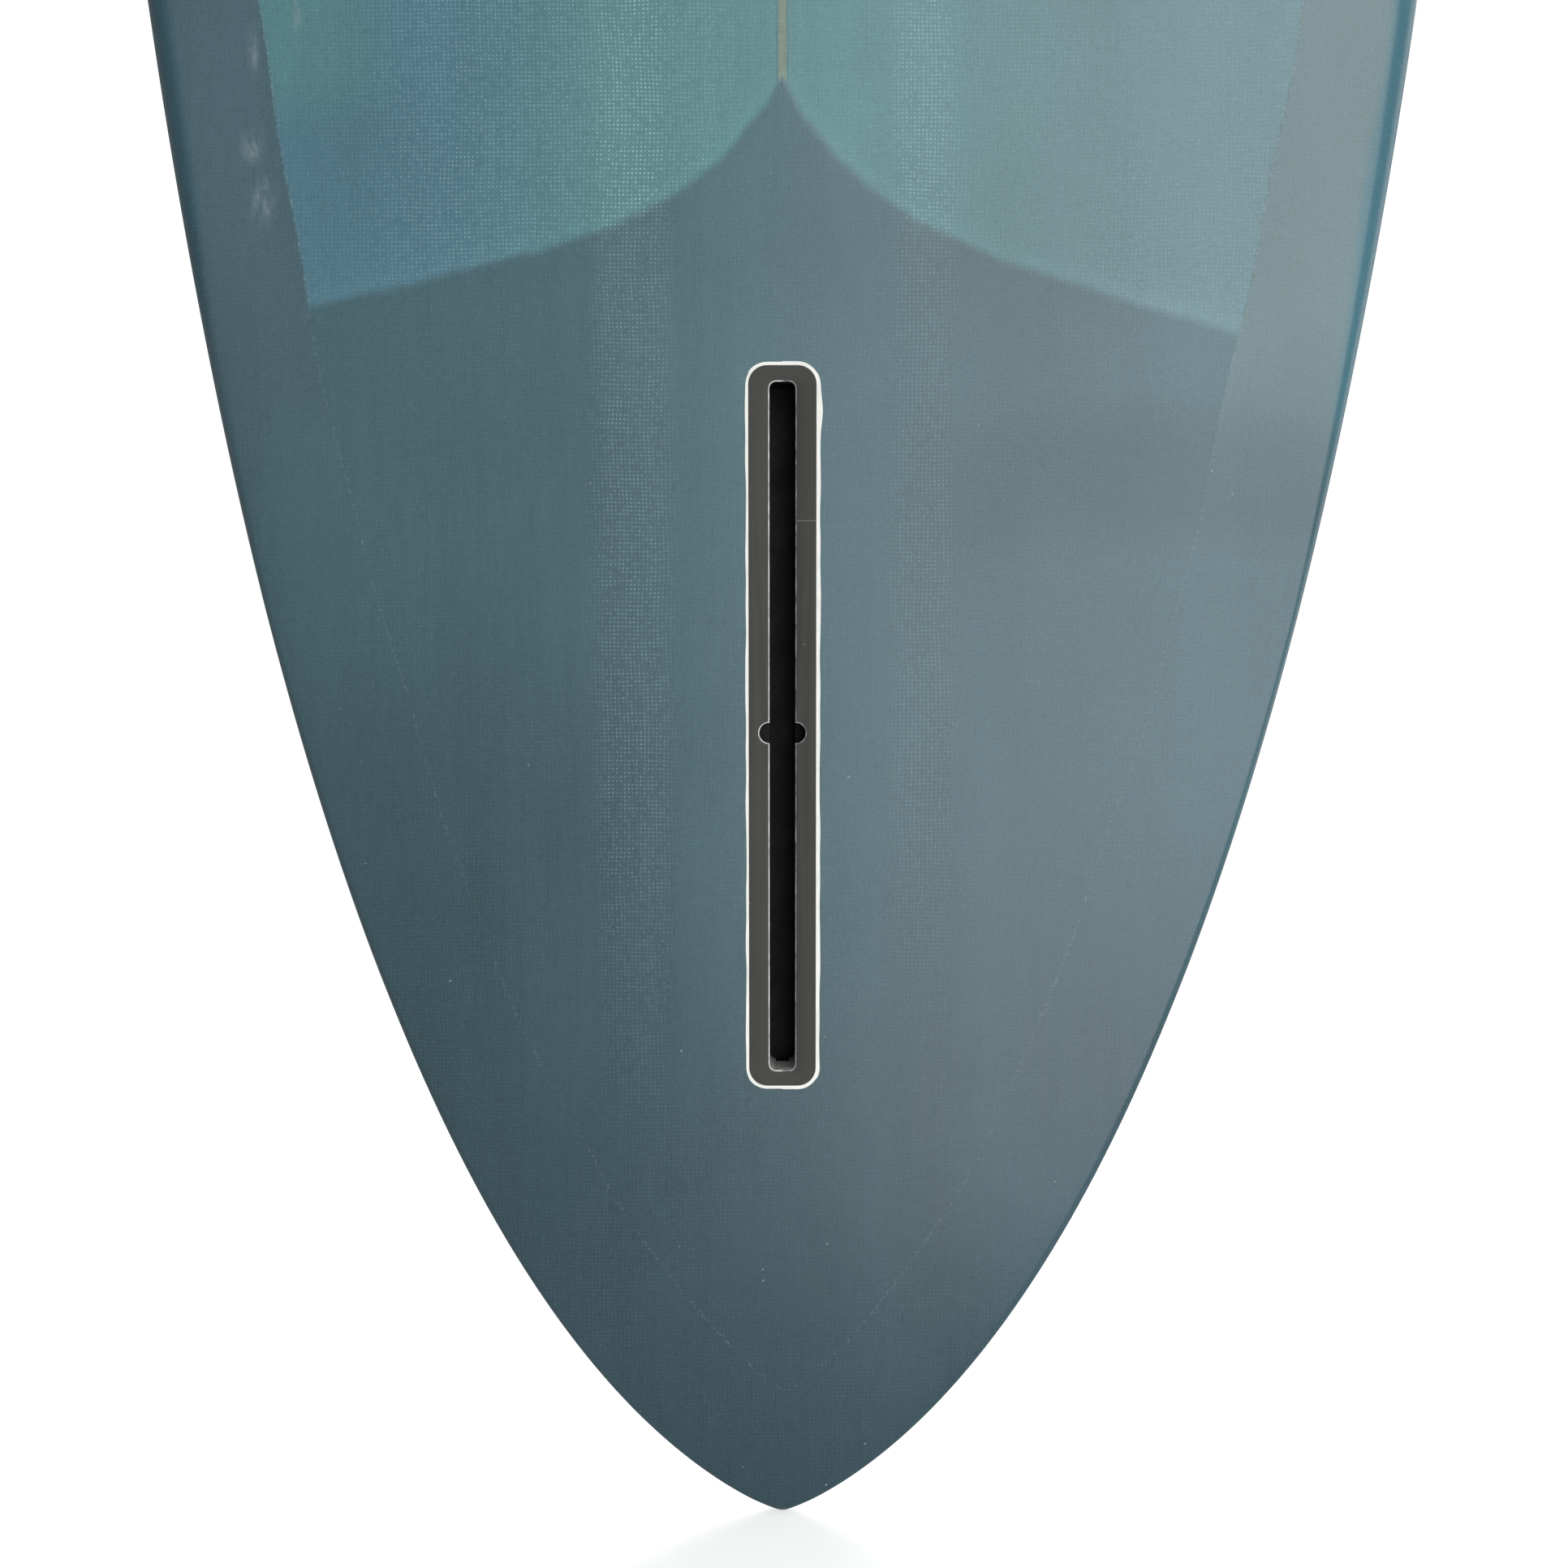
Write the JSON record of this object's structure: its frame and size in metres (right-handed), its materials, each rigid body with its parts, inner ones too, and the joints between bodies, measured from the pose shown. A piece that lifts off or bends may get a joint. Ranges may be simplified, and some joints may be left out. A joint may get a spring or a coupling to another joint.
{
  "type": "surfboard",
  "caption": "Mid-length rounded-pin surfboard with a tinted resin skin over foam, a wooden stringer, an empty long slotted fin box in its bottom and a leash plug in its deck.",
  "frame": {"origin": "tail tip, on the centre line, at the level of the bottom", "axes": "+Z from the tail tip towards the nose, +Y from the bottom towards the deck, +X to the right when the bottom is looked at with the nose up"},
  "size_m": [0.54, 0.121, 2.286],
  "materials": {
    "bottom_skin": "teal tinted resin over glass cloth, sanded satin",
    "deck_skin": "grey-blue tinted resin over doubled glass cloth, sanded satin",
    "patch_skin": "grey-blue second tinted layer, sanded satin",
    "foam": "closed-cell foam, planed",
    "stringer_wood": "bare light wood",
    "glue": "dark glue",
    "white_resin": "white pigmented resin, sanded",
    "box_plastic": "dark grey plastic, sanded flush",
    "plug_plastic": "moulded dark plastic",
    "pin_steel": "stainless steel"
  },
  "bodies": {
    "root": {"foam_left": "foam", "foam_right": "foam", "stringer": "stringer_wood", "glue_line_left": "glue", "glue_line_right": "glue", "bottom_laminate": "bottom_skin", "deck_laminate": "deck_skin", "tail_patch": "patch_skin", "fin_box_resin": "white_resin", "fin_box": "box_plastic", "leash_plug_resin": "white_resin", "leash_plug_cup": "plug_plastic", "leash_plug_pin": "pin_steel"}
  },
  "joints": []
}
